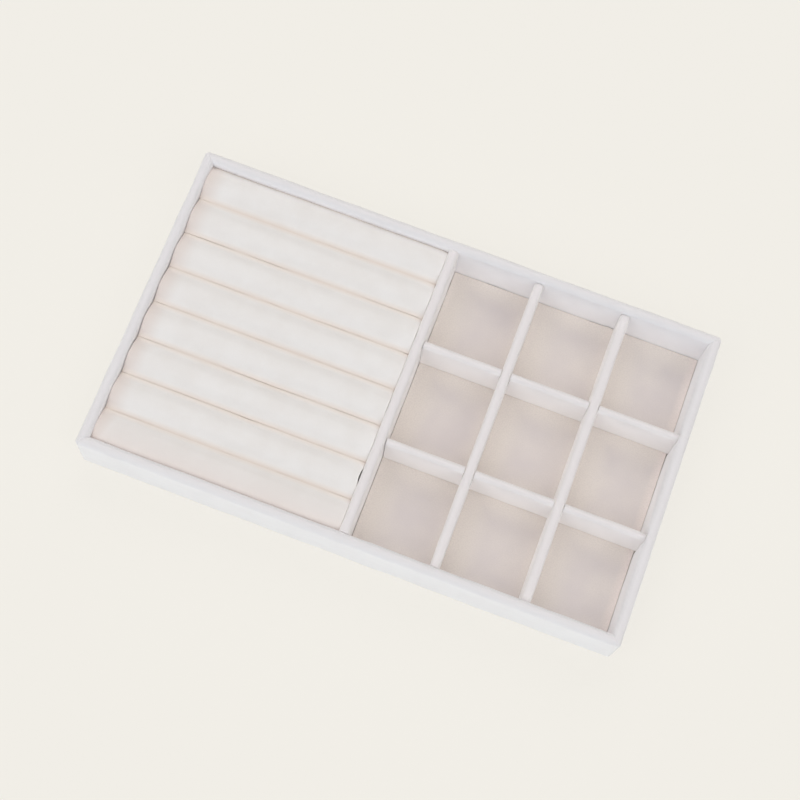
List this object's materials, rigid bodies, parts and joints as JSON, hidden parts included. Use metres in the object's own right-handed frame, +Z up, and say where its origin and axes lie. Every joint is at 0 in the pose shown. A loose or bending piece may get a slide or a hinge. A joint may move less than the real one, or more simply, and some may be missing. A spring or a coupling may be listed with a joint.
{
  "type": "jewelry tray",
  "caption": "Shallow velvet-wrapped jewelry tray with a lift-out pad of ring rolls beside a removable egg-crate of small compartments.",
  "frame": {"origin": "centre of the flat underside", "axes": "+X along the length from the ring rolls to the compartments, +Y from front to back, +Z up out of the tray"},
  "size_m": [0.3, 0.18, 0.032],
  "materials": {
    "velvet": "matte",
    "liner_suede": "matte",
    "underside_felt": "matte",
    "board": "matte",
    "card": "matte",
    "foam": "matte"
  },
  "bodies": {
    "tray": {"underside_sheet": "underside_felt", "base_board": "board", "floor_liner_card": "card", "floor_liner_velvet": "liner_suede", "front_wall_board": "board", "front_wall_velvet": "velvet", "right_wall_board": "board", "right_wall_velvet": "velvet", "back_wall_board": "board", "back_wall_velvet": "velvet", "left_wall_board": "board", "left_wall_velvet": "velvet"},
    "ring_pad": {"ring_pad_card": "card", "ring_roll_1_foam": "foam", "ring_roll_1_velvet": "velvet", "ring_roll_2_foam": "foam", "ring_roll_2_velvet": "velvet", "ring_roll_3_foam": "foam", "ring_roll_3_velvet": "velvet", "ring_roll_4_foam": "foam", "ring_roll_4_velvet": "velvet", "ring_roll_5_foam": "foam", "ring_roll_5_velvet": "velvet", "ring_roll_6_foam": "foam", "ring_roll_6_velvet": "velvet", "ring_roll_7_foam": "foam", "ring_roll_7_velvet": "velvet", "ring_roll_8_foam": "foam", "ring_roll_8_velvet": "velvet"},
    "main_divider": {"main_divider_board": "board", "main_divider_velvet": "velvet"},
    "cross_dividers": {"front_cross_divider_board": "board", "front_cross_divider_velvet": "velvet", "back_cross_divider_board": "board", "back_cross_divider_velvet": "velvet"},
    "left_divider": {"left_divider_board": "board", "left_divider_velvet": "velvet"},
    "right_divider": {"right_divider_board": "board", "right_divider_velvet": "velvet"}
  },
  "joints": [
    {"name": "ring_pad_lift", "type": "slide", "parent": "tray", "child": "ring_pad", "axis": [0, 0, 1], "range_m": [0, 0.035]},
    {"name": "main_divider_lift", "type": "slide", "parent": "tray", "child": "main_divider", "axis": [0, 0, 1], "range_m": [0, 0.035]},
    {"name": "divider_grid_lift", "type": "slide", "parent": "tray", "child": "cross_dividers", "axis": [0, 0, 1], "range_m": [0, 0.035]},
    {"name": "left_divider_lift", "type": "slide", "parent": "cross_dividers", "child": "left_divider", "axis": [0, 0, 1], "range_m": [0, 0.035]},
    {"name": "right_divider_lift", "type": "slide", "parent": "cross_dividers", "child": "right_divider", "axis": [0, 0, 1], "range_m": [0, 0.035]}
  ]
}
